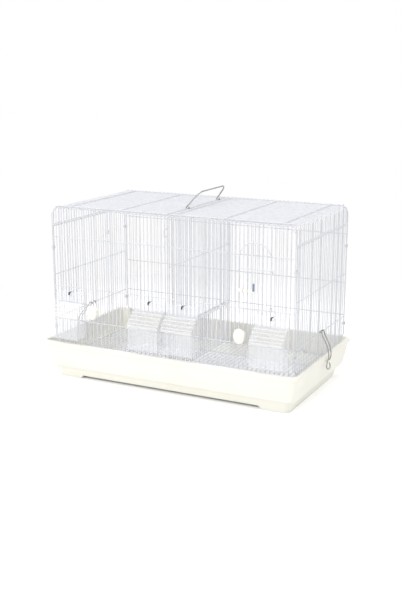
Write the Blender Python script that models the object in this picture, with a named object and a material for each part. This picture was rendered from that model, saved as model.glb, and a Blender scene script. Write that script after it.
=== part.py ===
"""Double bird cage: close wire panels on a moulded tray, parted by a sliding divider.

Metres, +X to the right, the front faces -Y, +Z up. The origin is on the ground under the middle.
"""

import math

import bmesh
import bpy

# The wire box: distances between the planes of its walls.
cage_width = 0.576
cage_depth = 0.312
clearance = 0.0003

# Heights: each step stands on the one before it, from the ground to the roof.
tray_height = 0.089
ring_rise = 0.053
feeder_opening_height = 0.040
sill_rise = 0.035
door_opening_height = 0.111
roof_rise = 0.064
roof_skirt = 0.038

# Wire sizes. Every straight wire has a square section.
wire = 0.0018
rail_wire = 0.0020
edge_wire = 0.0024
header_wire = 0.0026
corner_run = 0.0009

# Wires per panel.
front_gaps = 28
back_gaps = 57
side_gaps = 30
grille_gaps = 51
door_gaps = 7

# Walls.
outer_inset = 0.0004
side_inset = 0.0051
slot_width = 0.010
side_ring_drop = 0.001
side_rail_rise = 0.098
side_top_gap = 0.0035
corner_top_drop = 0.013
corner_end_drop = 0.0025
corner_foot_rise = 0.007
corner_foot_drop = 0.001
band_depth = 0.014
band_bend = 0.0035

# Columns of the front walls, counted from the slot, that stand beside each opening.
inner_feeder_columns = (0, 7)
door_columns = (16, 23)
outer_feeder_columns = (20, 27)

# Roof: its cross wires stand at these shares of the half width, and a pair beside the middle.
roof_bend = 0.012
roof_cross_shares = (0.878, 0.431)
roof_cross_middle = 0.008
roof_cross_dip = 0.0025
roof_cross_margin = 0.0015

# Tray: margins are measured outwards from the planes of the walls.
tray_corner_steps = 5
tray_rib_top = 0.042
tray_ledge_height = 0.038
tray_rib_bury = 0.001
tray_rib_inner_margin = -0.007
tray_rib_outer_margin = 0.003
tray_rib_width = 0.006
tray_long_ribs = (-0.66, 0.0, 0.66)
tray_short_ribs = (-0.075, 0.075)
foot_recess_share = 0.705
foot_recess_ramp = 0.007
foot_recess_height = 0.008
tray_floor = 0.0024
lug_drop = 0.011
lug_length = 0.005
lug_width = 0.004
lug_bury = 0.002
lug_tall = 0.006
# Margin, height and corner radius of each ring of the outer skin, from the ground up.
tray_outer_rings = (
    (-0.0150, 0.0, 0.014),
    (-0.0050, 0.033, 0.014),
    (0.0040, 0.036, 0.015),
    (0.0105, tray_height - 0.019, 0.017),
    (0.0152, tray_height - 0.019, 0.021),
    (0.0160, tray_height - 0.017, 0.022),
    (0.0160, tray_height - 0.002, 0.022),
    (0.0140, tray_height, 0.020),
)
# The same for the inner skin, from the floor up.
tray_inner_rings = (
    (-0.0172, 0.0024, 0.012),
    (-0.0078, 0.0365, 0.012),
    (-0.0074, 0.038, 0.012),
    (0.0022, 0.038, 0.010),
    (0.0060, tray_height - 0.019, 0.013),
    (0.0060, tray_height - 0.0012, 0.013),
    (0.0072, tray_height, 0.014),
    (0.0072, tray_height + 0.006, 0.014),
)

# Floor grille.
grille_margin = 0.0045
grille_stiffener_share = 0.32

# Divider.
divider_front_margin = 0.0025
divider_back_margin = 0.0040
divider_foot = 0.0480
divider_rail_drop = 0.0030
divider_rail_floor = 0.0010
divider_rail_half = 0.0038
divider_rail_wall = 0.0008
divider_rail_lip = 0.0045
divider_rail_margin = 0.006
divider_top_gap = 0.0035
divider_wire_rise = 0.141
divider_plane = -0.0007
divider_edge = 0.0022
divider_pull_drop = 0.034
divider_pull_half = 0.008
divider_pull_length = 0.0145
divider_pull_corner = 0.002

# Doors.
door_inner_lap = 0.0015
door_outer_lap = 0.0019
door_rise = 0.138
door_arch_steps = 10
door_bar_rise = 0.083
door_bar_wire = 0.0016
hinge_clip_tall = 0.006
hinge_clip_room = 0.0020
hinge_clip_wall = 0.0012
hinge_clip_steps = 3
bolt_rise = 0.039
bolt_tall = 0.006
bolt_thick = 0.0024
bolt_lap = 0.0005
bolt_length = 0.0385
staple_wire = 0.0014
staple_columns = (1, 2)
staple_room = 0.0005
knob_reach = 0.035
knob_rise = 0.040
knob_tall = 0.016
knob_wide = 0.006
knob_thick = 0.005

# Feeders: outlines run in reach from the front plane and height above the ring wire.
feeder_lap = 0.0012
feeder_wall = 0.0018
feeder_outline = (
    (0.0035, 0.064),
    (0.0060, 0.064),
    (0.0112, 0.045),
    (0.0135, 0.044),
    (0.0260, 0.024),
    (0.0285, 0.023),
    (0.0390, 0.018),
    (0.0400, 0.016),
    (0.0400, 0.005),
    (0.0385, 0.004),
    (0.0350, -0.036),
    (0.0035, -0.036),
)
feeder_hollow = (
    (-0.001, 0.038),
    (-0.001, 0.0034),
    (0.0053, 0.0034),
    (0.0053, -0.0340),
    (0.0333, -0.0340),
    (0.0366, 0.0045),
    (0.0380, 0.0060),
    (0.0380, 0.0155),
    (0.0276, 0.0206),
    (0.0130, 0.0415),
    (0.0100, 0.0430),
    (0.0060, 0.0430),
    (0.0060, 0.038),
)
feeder_lip_margin = 0.0045
feeder_lip_thick = 0.0015
feeder_lip_reach = -0.0018
feeder_lip_root = 0.0045
hook_width = 0.004
hook_outline = (
    (-0.0020, 0.0643),
    (0.0086, 0.0643),
    (0.0104, 0.0570),
    (0.0122, 0.0570),
    (0.0110, 0.0670),
    (-0.0020, 0.0670),
)

# Small fittings of the front.
rod_column = 13.5
rod_wire = 0.0025
rod_foot_drop = 0.003
rod_top_rise = 0.017
cap_radius = 0.0032
cap_tall = 0.009
cap_sides = 12
oval_column = 17
oval_rise = 0.026
oval_wide = 0.022
oval_tall = 0.030
oval_thick = 0.004
oval_steps = 16
oval_reach = 0.0225
oval_stem_wide = 0.007
oval_base_wide = 0.013
oval_base_thick = 0.002
corner_clip_low_rise = 0.031
corner_clip_top_drop = 0.092
corner_clip_tall = 0.005

# Carrying handle: it swings on the roof's cross wire left of the middle. Its feet stand midway
# between two roof wires, this many wire steps in front of the middle and behind it.
handle_lean = math.radians(39)
handle_steps = (4.5, 10.5)
handle_rise = 0.042
handle_wire = 0.003
handle_corner = 0.024
handle_corner_steps = 5
handle_splay = 0.004
handle_eye = 0.0035
handle_eye_steps = 9
handle_eye_turn = math.radians(270)

# Hasps: outline of one leg in steps from the axis, outwards and up, hook first.
# The last number is the share of the space to the next wire that parts it from the middle.
hasp_wire = 0.0020
hasp_outline = (
    (-0.0029, -0.0024, 0.70),
    (-0.0029, 0.0008, 0.70),
    (-0.0012, 0.0028, 0.70),
    (0.0012, 0.0028, 0.70),
    (0.0029, 0.0008, 0.70),
    (0.0052, -0.0062, 0.70),
    (0.0105, -0.0162, 0.70),
    (0.0158, -0.0272, 0.70),
    (0.0191, -0.0380, 0.70),
    (0.0203, -0.0475, 0.70),
    (0.0197, -0.0545, 0.68),
    (0.0176, -0.0600, 0.58),
    (0.0166, -0.0640, 0.40),
    (0.0168, -0.0680, 0.70),
    (0.0174, -0.0725, 1.02),
    (0.0182, -0.0765, 0.94),
    (0.0186, -0.0792, 0.55),
)

half_width = cage_width / 2
half_depth = cage_depth / 2
ring_height = tray_height + ring_rise
feeder_header_height = ring_height + feeder_opening_height
sill_height = feeder_header_height + sill_rise
upper_rail_height = sill_height + door_opening_height
roof_height = upper_rail_height + roof_rise
roof_end_height = roof_height - roof_skirt
side_ring_height = ring_height - side_ring_drop
side_top_height = roof_end_height - side_top_gap
corner_foot_height = tray_height + corner_foot_rise
corner_foot_end = tray_height - corner_foot_drop
cross_offset = wire / 2 + clearance + rail_wire / 2
edge_offset = cross_offset / 2
wall_foot = tray_rib_top + clearance + edge_wire / 2
front_outer = half_width - outer_inset
side_outer = half_depth - side_inset
half_slot = slot_width / 2
front_pitch = (front_outer - half_slot) / front_gaps
back_pitch = 2 * front_outer / back_gaps
side_pitch = 2 * side_outer / side_gaps
band_height = roof_height + wire + clearance
band_edge_height = roof_height + wire / 2 + clearance + edge_wire / 2
door_plane = half_depth + cross_offset + rail_wire / 2 + clearance + edge_wire / 2
door_inner = half_slot + door_columns[0] * front_pitch + door_inner_lap
door_outer = half_slot + door_columns[1] * front_pitch + door_outer_lap
door_radius = (door_outer - door_inner) / 2
door_pitch = (door_outer - door_inner) / door_gaps
door_bar_height = sill_height + door_bar_rise
bolt_height = sill_height + bolt_rise
divider_front = divider_front_margin - half_depth
divider_back = half_depth - divider_back_margin
divider_top = roof_height - divider_top_gap
handle_place = -roof_cross_middle
handle_axis_height = roof_height + cross_offset
handle_near = -handle_steps[0] * side_pitch
handle_far = handle_steps[1] * side_pitch

for old in list(bpy.data.objects):
    bpy.data.objects.remove(old)
for old in list(bpy.data.collections):
    bpy.data.collections.remove(old)
cage = bpy.data.collections.new("double_bird_cage")
helpers = bpy.data.collections.new("cutters")
bpy.context.scene.collection.children.link(cage)
bpy.context.scene.collection.children.link(helpers)

# Colour, metal share and roughness of each finish.
finishes = {
    "white_wire": ((0.80, 0.79, 0.82, 1), 0.0, 0.35),
    "ivory_plastic": ((0.80, 0.74, 0.60, 1), 0.0, 0.45),
    "lilac_plastic": ((0.62, 0.60, 0.72, 1), 0.0, 0.25),
    "grey_plastic": ((0.20, 0.23, 0.30, 1), 0.0, 0.40),
    "bright_steel": ((0.55, 0.55, 0.57, 1), 1.0, 0.30),
    "black_plastic": ((0.02, 0.02, 0.02, 1), 0.0, 0.50),
}


def material(obj, finish):
    """Gives the object a material of its own in one of the finishes."""
    colour, metal, rough = finishes[finish]
    made = bpy.data.materials.new(obj.name)
    made.use_nodes = True
    shader = made.node_tree.nodes["Principled BSDF"]
    shader.inputs["Base Color"].default_value = colour
    shader.inputs["Metallic"].default_value = metal
    shader.inputs["Roughness"].default_value = rough
    obj.data.materials.clear()
    obj.data.materials.append(made)


def add_mesh(name, bm):
    """A helper object that holds this bmesh, with its faces turned outwards."""
    if bm.calc_volume(signed=True) < 0:
        bmesh.ops.reverse_faces(bm, faces=bm.faces)
    mesh = bpy.data.meshes.new(name)
    bm.to_mesh(mesh)
    bm.free()
    obj = bpy.data.objects.new(name, mesh)
    obj.hide_render = True
    obj.display_type = "WIRE"
    helpers.objects.link(obj)
    return obj


def finish_node(obj, finish, smooth=False):
    """Turns a helper into a piece of the cage."""
    helpers.objects.unlink(obj)
    cage.objects.link(obj)
    obj.hide_render = False
    obj.display_type = "TEXTURED"
    if smooth:
        obj.data.shade_smooth()
        obj.data.set_sharp_from_angle(angle=math.radians(35))
    material(obj, finish)
    return obj


def boolean(obj, other, operation):
    """Joins or cuts with another helper."""
    modifier = obj.modifiers.new(other.name, "BOOLEAN")
    modifier.solver = "EXACT"
    modifier.operation = operation
    modifier.object = other


def tube(name, paths, sides=0, square=True, closed=False):
    """Wires through lists of points as one mesh: paths holds (points, thickness) pairs."""
    curve = bpy.data.curves.new(name, "CURVE")
    curve.dimensions = "3D"
    curve.twist_mode = "MINIMUM"
    across = math.sqrt(2) if square else 1
    curve.bevel_depth = wire / 2 * across
    curve.bevel_resolution = sides
    curve.use_fill_caps = not closed
    for points, thickness in paths:
        spline = curve.splines.new("POLY")
        spline.points.add(len(points) - 1)
        for place, point in zip(spline.points, points):
            place.co = (*point, 1)
            place.radius = thickness / wire
            place.tilt = math.pi / 4 if square else 0
        spline.use_cyclic_u = closed
    guide = bpy.data.objects.new(name + "_guide", curve)
    helpers.objects.link(guide)
    bpy.context.view_layer.update()
    graph = bpy.context.evaluated_depsgraph_get()
    mesh = bpy.data.meshes.new_from_object(guide.evaluated_get(graph))
    bpy.data.objects.remove(guide)
    bm = bmesh.new()
    bm.from_mesh(mesh)
    bmesh.ops.remove_doubles(bm, verts=bm.verts, dist=1e-7)
    return add_mesh(name, bm)


def wire_panel(name, *layers):
    """A piece of crossing straight wires. No two wires of one layer touch each other."""
    obj = tube(name, layers[0])
    for paths in layers[1:]:
        boolean(obj, tube(name + "_layer", paths), "UNION")
    return finish_node(obj, "white_wire")


def box(name, low, high):
    """A box between two corners."""
    bm = bmesh.new()
    bmesh.ops.create_cube(bm, size=1)
    bmesh.ops.translate(bm, verts=bm.verts, vec=(0.5, 0.5, 0.5))
    span = [b - a for a, b in zip(low, high)]
    bmesh.ops.scale(bm, verts=bm.verts, vec=span)
    bmesh.ops.translate(bm, verts=bm.verts, vec=low)
    return add_mesh(name, bm)


def prism(name, loops, thickness, place):
    """A flat outline, with any holes, filled both ways and set with place(u, v, w)."""
    curve = bpy.data.curves.new(name, "CURVE")
    curve.dimensions = "2D"
    curve.fill_mode = "BOTH"
    curve.extrude = thickness / 2
    for loop in loops:
        spline = curve.splines.new("POLY")
        spline.points.add(len(loop) - 1)
        for point, (u, v) in zip(spline.points, loop):
            point.co = (u, v, 0, 1)
        spline.use_cyclic_u = True
    guide = bpy.data.objects.new(name + "_guide", curve)
    helpers.objects.link(guide)
    bpy.context.view_layer.update()
    graph = bpy.context.evaluated_depsgraph_get()
    mesh = bpy.data.meshes.new_from_object(guide.evaluated_get(graph))
    bpy.data.objects.remove(guide)
    bm = bmesh.new()
    bm.from_mesh(mesh)
    bmesh.ops.remove_doubles(bm, verts=bm.verts, dist=1e-7)
    for vert in bm.verts:
        vert.co = place(*vert.co)
    return add_mesh(name, bm)


def rounded_ring(margin, height, radius):
    """Points round a rectangle with rounded corners, this far outside the walls."""
    points = []
    for quarter, (sx, sy) in enumerate(((1, 1), (-1, 1), (-1, -1), (1, -1))):
        cx = sx * (half_width + margin - radius)
        cy = sy * (half_depth + margin - radius)
        for step in range(tray_corner_steps + 1):
            turn = math.pi / 2 * (quarter + step / tray_corner_steps)
            points.append((cx + radius * math.cos(turn), cy + radius * math.sin(turn), height))
    return points


def loft(name, rings):
    """A closed skin through rings with the same number of points."""
    bm = bmesh.new()
    loops = [[bm.verts.new(point) for point in ring] for ring in rings]
    for low, high in zip(loops, loops[1:]):
        for i, vert in enumerate(low):
            after = (i + 1) % len(low)
            bm.faces.new((vert, low[after], high[after], high[i]))
    bm.faces.new(loops[0][::-1])
    bm.faces.new(loops[-1])
    return add_mesh(name, bm)


def tray_recess(name, drop, grow):
    """The clear space under the tray between its two end feet."""
    top = foot_recess_height + drop
    wide = foot_recess_share * half_width + grow
    outline = [
        (-wide - foot_recess_ramp, -top),
        (wide + foot_recess_ramp, -top),
        (wide, drop),
        (wide - foot_recess_ramp, top),
        (foot_recess_ramp - wide, top),
        (-wide, drop),
    ]
    return prism(name, [outline], cage_depth + cage_width, lambda u, v, w: (u, w, v))


def make_tray():
    """Moulded tray with a broad rim, a ledge inside, ribs for the wire box and two feet."""
    tray = loft("base_tray", [rounded_ring(*ring) for ring in tray_outer_rings])
    hollow = loft("tray_hollow", [rounded_ring(*ring) for ring in tray_inner_rings])
    boolean(tray, tray_recess("foot_recess", 0, 0), "DIFFERENCE")
    boolean(hollow, tray_recess("floor_rise", tray_floor, tray_floor), "DIFFERENCE")
    boolean(tray, hollow, "DIFFERENCE")
    low = tray_ledge_height - tray_rib_bury
    half = tray_rib_width / 2
    for side in (-1, 1):
        y_in = side * (half_depth + tray_rib_inner_margin)
        y_out = side * (half_depth + tray_rib_outer_margin)
        for share in tray_long_ribs:
            place = share * half_width
            rib = box(
                "rib",
                (place - half, min(y_in, y_out), low),
                (place + half, max(y_in, y_out), tray_rib_top),
            )
            boolean(tray, rib, "UNION")
        x_in = side * (half_width + tray_rib_inner_margin)
        x_out = side * (half_width + tray_rib_outer_margin)
        for place in tray_short_ribs:
            rib = box(
                "rib",
                (min(x_in, x_out), place - half, low),
                (max(x_in, x_out), place + half, tray_rib_top),
            )
            boolean(tray, rib, "UNION")
        rim = side * (half_width + tray_outer_rings[-2][0])
        ends = sorted((rim - side * lug_bury, rim + side * lug_length))
        middle = tray_height - lug_drop
        lug = box(
            "hasp_lug",
            (ends[0], -lug_width / 2, middle - lug_tall / 2),
            (ends[1], lug_width / 2, middle + lug_tall / 2),
        )
        boolean(tray, lug, "UNION")
    finish_node(tray, "ivory_plastic", smooth=True)


def wall_top(x, side, offset):
    """Upper end of a front or back wire: it bends back over the roof and ends in the band."""
    y = side * (half_depth + offset)
    over = side * (half_depth - band_depth)
    return [
        (x, y, band_height - band_bend - offset),
        (x, side * (half_depth - band_bend), band_height),
        (x, over, band_height),
    ]


def corner_wire(x, inner_x, y):
    """Outermost wire of a front or back wall, drawn in at both ends to the wire beside it."""
    foot = [(inner_x, y, corner_foot_end), (x, y, corner_foot_height)]
    bend = (inner_x - x) / 3
    top = roof_height - corner_top_drop
    end = roof_height - corner_end_drop
    return foot + [(x, y, top), (x + bend, y, (top + 2 * end) / 3), (inner_x, y, end)]


def wall_column(x, side, gaps):
    """One upright wire from the foot to the band, left out in each (low, high) gap."""
    y = side * half_depth
    paths = []
    start = wall_foot
    for low, high in gaps:
        paths.append(([(x, y, start), (x, y, low)], wire))
        start = high
    paths.append(([(x, y, start)] + wall_top(x, side, 0), wire))
    return paths


def along_x(start, end, y, z, thickness):
    """A straight wire along X."""
    return ([(start, y, z), (end, y, z)], thickness)


def along_y(x, start, end, z, thickness):
    """A straight wire along Y."""
    return ([(x, start, z), (x, end, z)], thickness)


def upright(x, y, low, high, thickness):
    """A straight upright wire."""
    return ([(x, y, low), (x, y, high)], thickness)


def make_front(name, hand, has_door):
    """Half of the front: a wall with two feeder openings and, on the right, a door opening."""
    def column(i):
        return hand * (half_slot + i * front_pitch)

    y = -half_depth
    uprights = []
    for i in range(1, front_gaps):
        gaps = []
        for first, last in (inner_feeder_columns, outer_feeder_columns):
            if first < i < last:
                gaps.append((ring_height, feeder_header_height))
        if has_door and door_columns[0] < i < door_columns[1]:
            gaps.append((sill_height, upper_rail_height))
        uprights += wall_column(column(i), -1, gaps)
    edge = y - edge_offset
    inner = [(column(0), edge, wall_foot - corner_run)] + wall_top(column(0), -1, edge_offset)
    uprights.append((inner, edge_wire))
    last = column(front_gaps - 1)
    corner = [(corner_wire(column(front_gaps), last, edge), edge_wire)]
    run = hand * corner_run
    start = column(0) - run
    rails = [along_x(start, last + run, y, wall_foot, edge_wire)]
    band = y + band_depth
    rails.append(along_x(start, last + run, band, band_edge_height, edge_wire))
    for height in (ring_height, sill_height, upper_rail_height):
        rails.append(along_x(column(0), column(front_gaps), y - cross_offset, height, rail_wire))
    headers = []
    for first, end in (inner_feeder_columns, outer_feeder_columns):
        for height in (ring_height, feeder_header_height):
            headers.append(along_x(column(first), column(end), y, height, header_wire))
    if has_door:
        ends = [column(i) for i in door_columns]
        for height in (sill_height, upper_rail_height):
            headers.append(along_x(*ends, y, height, header_wire))
    wire_panel(name, uprights, rails, headers, corner)


def make_back():
    """The back wall is one plain panel."""
    y = half_depth
    edge = y + edge_offset
    uprights = []
    places = [-front_outer + i * back_pitch for i in range(back_gaps + 1)]
    for x in places[1:-1]:
        uprights += wall_column(x, 1, [])
    corners = [(corner_wire(places[0], places[1], edge), edge_wire)]
    corners.append((corner_wire(places[-1], places[-2], edge), edge_wire))
    low, high = places[1] - corner_run, places[-2] + corner_run
    rails = [along_x(low, high, y, wall_foot, edge_wire)]
    rails.append(along_x(low, high, y - band_depth, band_edge_height, edge_wire))
    for height in (ring_height, sill_height, upper_rail_height):
        rails.append(along_x(places[0], places[-1], y + cross_offset, height, rail_wire))
    wire_panel("back_panel", uprights, rails, corners)


def side_places():
    """Distances along Y of the wires of the side walls and of the roof."""
    return [-side_outer + i * side_pitch for i in range(side_gaps + 1)]


def make_side(name, hand):
    """A side wall. Its top stops below the roof panel, whose wires bend down to meet it."""
    places = side_places()
    x = hand * half_width
    edge = hand * (half_width + edge_offset)
    uprights = [upright(x, y, wall_foot, side_top_height, wire) for y in places[1:-1]]
    corners = []
    for y, beside in ((places[0], places[1]), (places[-1], places[-2])):
        points = [(edge, beside, corner_foot_end), (edge, y, corner_foot_height)]
        corners.append((points + [(edge, y, side_top_height + corner_run)], edge_wire))
    low, high = places[1] - corner_run, places[-2] + corner_run
    rails = [along_y(x, low, high, wall_foot, edge_wire)]
    low, high = places[0] - corner_run, places[-1] + corner_run
    rails.append(along_y(x, low, high, side_top_height, edge_wire))
    outside = hand * (half_width + cross_offset)
    for height in (side_ring_height, ring_height + side_rail_rise):
        rails.append(along_y(outside, places[0], places[-1], height, rail_wire))
    wire_panel(name, uprights, rails, corners)


def roof_wire(y, inset, thickness):
    """One wire of the roof, bent down over both side edges."""
    x = half_width - inset
    z = roof_height - inset
    bend = roof_bend - inset
    cut = bend * (1 - math.sqrt(0.5))
    right = [(x - bend, y, z), (x - cut, y, z - cut), (x, y, z - bend), (x, y, roof_end_height)]
    left = [(-px, py, pz) for px, py, pz in reversed(right)]
    return (left + right, thickness)


def make_roof():
    """The roof: close wires across the cage, with six stronger wires laid over them."""
    places = side_places()
    wires = [roof_wire(y, 0, wire) for y in places[1:-1]]
    wires += [roof_wire(y, edge_offset, edge_wire) for y in (places[0], places[-1])]
    rails = []
    over = roof_height + cross_offset
    end = half_depth - roof_cross_margin - band_depth
    dip = end - roof_cross_dip
    crosses = [share * half_width for share in roof_cross_shares] + [roof_cross_middle]
    for hand in (-1, 1):
        low, high = places[0] - corner_run, places[-1] + corner_run
        rails.append(along_y(hand * half_width, low, high, roof_end_height, edge_wire))
        for cross in crosses:
            x = hand * cross
            path = [(x, -end, roof_height), (x, -dip, over), (x, dip, over), (x, end, roof_height)]
            rails.append((path, rail_wire))
    wire_panel("roof_panel", wires, rails)


def make_grille():
    """The floor grille, resting on the ribs of the tray."""
    z = tray_rib_top + clearance + rail_wire / 2
    wide, deep = half_width - grille_margin, half_depth - grille_margin
    pitch = 2 * wide / grille_gaps
    wires = [along_y(i * pitch - wide, -deep, deep, z, wire) for i in range(1, grille_gaps)]
    rails = [along_x(-wide, wide, side * deep, z, rail_wire) for side in (-1, 1)]
    ends = []
    for side in (-1, 1):
        run = deep + corner_run
        ends.append(along_y(side * wide, -run, run, z + edge_offset, edge_wire))
        place = side * grille_stiffener_share * half_depth
        rails.append(along_x(-wide, wide, place, z + cross_offset, rail_wire))
    wire_panel("floor_grille", wires, rails, ends)


def make_dividers():
    """A fixed lower screen, a channel on it, and the screen that slides out of the front."""
    places = side_places()
    base = ring_height - divider_rail_drop
    top = base - clearance - edge_wire / 2
    uprights = [upright(0, y, divider_foot, top, wire) for y in places]
    low, high = places[0] - corner_run, places[-1] + corner_run
    rails = [along_y(0, low, high, z, edge_wire) for z in (divider_foot, top)]
    wire_panel("lower_divider", uprights, rails)

    inner = divider_rail_half
    outer = inner + divider_rail_wall
    floor = base + divider_rail_floor
    tip = floor + divider_rail_lip
    outline = [(-outer, base), (outer, base), (outer, tip), (inner, tip)]
    outline += [(inner, floor), (-inner, floor), (-inner, tip), (-outer, tip)]
    length = cage_depth - 2 * divider_rail_margin
    rail = prism("divider_rail", [outline], length, lambda u, v, w: (u, w, v))
    finish_node(rail, "white_wire")

    x = divider_plane
    bottom = floor + clearance + edge_wire / 2
    pitch = (divider_back - divider_front) / side_gaps
    uprights = []
    for i in range(1, side_gaps):
        uprights.append(upright(x, divider_front + i * pitch, bottom, divider_top, wire))
    edge = x + cross_offset / 2
    for y in (divider_front, divider_back):
        ends = (bottom - corner_run, divider_top + corner_run)
        uprights.append(upright(edge, y, *ends, divider_edge))
    start, end = divider_front - corner_run, divider_back + corner_run
    rails = [along_y(x, start, end, z, edge_wire) for z in (bottom, divider_top)]
    across = x + wire + 2 * clearance
    height = ring_height + divider_wire_rise
    rails.append(along_y(across, divider_front, divider_back, height, wire))
    reach = divider_front - divider_pull_length
    bend = divider_pull_corner
    low = roof_height - divider_pull_drop - divider_pull_half
    high = low + 2 * divider_pull_half
    pull = [(divider_front, low), (reach + bend, low), (reach, low + bend)]
    pull += [(reach, high - bend), (reach + bend, high), (divider_front, high)]
    loop = [([(edge, y, z) for y, z in pull], rail_wire)]
    wire_panel("centre_divider", uprights, rails, loop)


def stadium(ends, radius):
    """Outline round two points at this radius."""
    (ax, ay), (bx, by) = ends
    heading = math.atan2(by - ay, bx - ax)
    points = []
    for (cx, cy), first in (((bx, by), -0.5), ((ax, ay), 0.5)):
        for step in range(hinge_clip_steps + 1):
            turn = heading + math.pi * (first + step / hinge_clip_steps)
            points.append((cx + radius * math.cos(turn), cy + radius * math.sin(turn)))
    return points


def ring_clip(name, ends, bottom, tall, finish):
    """A closed clip round two upright wires."""
    inner = stadium(ends, hinge_clip_room)
    outer = stadium(ends, hinge_clip_room + hinge_clip_wall)
    middle = bottom + tall / 2
    clip = prism(name, [outer, inner], tall, lambda u, v, w: (u, v, w + middle))
    finish_node(clip, finish)


def make_door(side, hand):
    """An arched door, its two hinge clips, and the bolt with its knob."""
    y = -door_plane
    middle = (door_inner + door_outer) / 2
    spring = sill_height + door_rise - door_radius
    frame = [(hand * door_inner, y, sill_height), (hand * door_inner, y, spring)]
    for step in range(1, door_arch_steps):
        turn = math.pi * step / door_arch_steps
        x = middle - door_radius * math.cos(turn)
        frame.append((hand * x, y, spring + door_radius * math.sin(turn)))
    frame += [(hand * door_outer, y, spring), (hand * door_outer, y, sill_height)]
    obj = tube(side + "_door", [(frame, edge_wire)], closed=True)
    uprights = []
    for i in range(1, door_gaps):
        x = door_inner + i * door_pitch
        rise = math.sqrt(door_radius**2 - (x - middle) ** 2)
        uprights.append(upright(hand * x, y, sill_height, spring + rise, wire))
    boolean(obj, tube(side + "_door_uprights", uprights), "UNION")
    ends = (hand * door_inner, hand * door_outer)
    bar = [along_x(*ends, y, door_bar_height, door_bar_wire)]
    boolean(obj, tube(side + "_door_bar", bar), "UNION")
    staples = []
    half = bolt_tall / 2 + staple_room + staple_wire / 2
    reach = y - edge_wire / 2 - clearance - bolt_thick - staple_room - staple_wire / 2
    for i in staple_columns:
        x = hand * (door_inner + i * door_pitch)
        low, high = bolt_height - half, bolt_height + half
        staple = [(x, y, low), (x, reach, low), (x, reach, high), (x, y, high)]
        staples.append((staple, staple_wire))
    boolean(obj, tube(side + "_door_staples", staples), "UNION")
    finish_node(obj, "white_wire")

    leg = (hand * door_outer, y)
    post = (hand * (half_slot + door_columns[1] * front_pitch), -half_depth)
    low = sill_height + edge_wire / 2 + clearance
    ring_clip(side + "_lower_hinge_clip", (leg, post), low, hinge_clip_tall, "white_wire")
    low = door_bar_height - door_bar_wire / 2 - clearance - hinge_clip_tall
    ring_clip(side + "_upper_hinge_clip", (leg, post), low, hinge_clip_tall, "white_wire")

    back = y - edge_wire / 2 - clearance
    front = back - bolt_thick
    start = door_inner - bolt_lap
    ends = sorted((hand * start, hand * (start + bolt_length)))
    low, high = bolt_height - bolt_tall / 2, bolt_height + bolt_tall / 2
    bolt = box(side + "_door_bolt", (ends[0], front, low), (ends[1], back, high))
    finish_node(bolt, "ivory_plastic")
    x = hand * (door_inner + knob_reach)
    near = front - clearance
    low = sill_height + knob_rise
    knob = box(
        side + "_bolt_knob",
        (x - knob_wide / 2, near - knob_thick, low),
        (x + knob_wide / 2, near, low + knob_tall),
    )
    finish_node(knob, "grey_plastic")


def feeder_place(where):
    """Middle and width of the opening that a feeder fills."""
    first, last = inner_feeder_columns if where == "inner" else outer_feeder_columns
    return half_slot + (first + last) / 2 * front_pitch, (last - first) * front_pitch


def make_feeder(side, where, hand):
    """A hooded cup hung outside an opening, with a lip over the ring wire and a catch above."""
    middle, opening = feeder_place(where)
    place = hand * middle
    width = opening + 2 * feeder_lap

    def set_out(u, v, w):
        return (place + w, -half_depth - u, ring_height + v)

    name = f"{side}_{where}_feeder"
    cup = prism(name, [feeder_outline], width, set_out)
    hollow = prism(name + "_hollow", [feeder_hollow], width - 2 * feeder_wall, set_out)
    boolean(cup, hollow, "DIFFERENCE")
    top = ring_height + header_wire / 2 + clearance
    half = opening / 2 - feeder_lip_margin
    lip = box(
        name + "_lip",
        (place - half, -half_depth - feeder_lip_root, top),
        (place + half, -half_depth - feeder_lip_reach, top + feeder_lip_thick),
    )
    boolean(cup, lip, "UNION")
    finish_node(cup, "lilac_plastic")
    # The catch stands in the middle of the cup, midway between two wires.
    finish_node(prism(name + "_hook", [hook_outline], hook_width, set_out), "black_plastic")


def make_front_fittings(side, hand):
    """The capped rod on the rails and the oval knob that stands out on a stem below it."""
    x = hand * (half_slot + rod_column * front_pitch)
    y = -half_depth - cross_offset - rail_wire / 2 - clearance - rod_wire / 2
    rod_top = upper_rail_height + rod_top_rise
    rod_path = upright(x, y, sill_height - rod_foot_drop, rod_top, rod_wire)
    rod = tube(side + "_front_rod", [rod_path])
    finish_node(rod, "white_wire")
    bm = bmesh.new()
    bmesh.ops.create_cone(
        bm, cap_ends=True, segments=cap_sides, radius1=cap_radius, radius2=cap_radius, depth=cap_tall
    )
    middle = rod_top + clearance + cap_tall / 2
    bmesh.ops.translate(bm, verts=bm.verts, vec=(x, y, middle))
    finish_node(add_mesh(side + "_rod_cap", bm), "grey_plastic", smooth=True)
    outline = []
    for step in range(oval_steps):
        turn = 2 * math.pi * step / oval_steps
        outline.append((oval_wide / 2 * math.cos(turn), oval_tall / 2 * math.sin(turn)))
    middle = hand * (half_slot + oval_column * front_pitch)
    height = ring_height + oval_rise
    face = -half_depth - oval_reach
    oval = prism(
        side + "_oval_clip",
        [outline],
        oval_thick,
        lambda u, v, w: (middle + u, face + w, height + v),
    )
    back = -half_depth - wire / 2 - clearance
    for wide, near, far in (
        (oval_stem_wide, face, back - oval_base_thick / 2),
        (oval_base_wide, back - oval_base_thick, back),
    ):
        low = (middle - wide / 2, near, height - wide / 2)
        high = (middle + wide / 2, far, height + wide / 2)
        boolean(oval, box("oval_stem", low, high), "UNION")
    finish_node(oval, "ivory_plastic")


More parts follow.
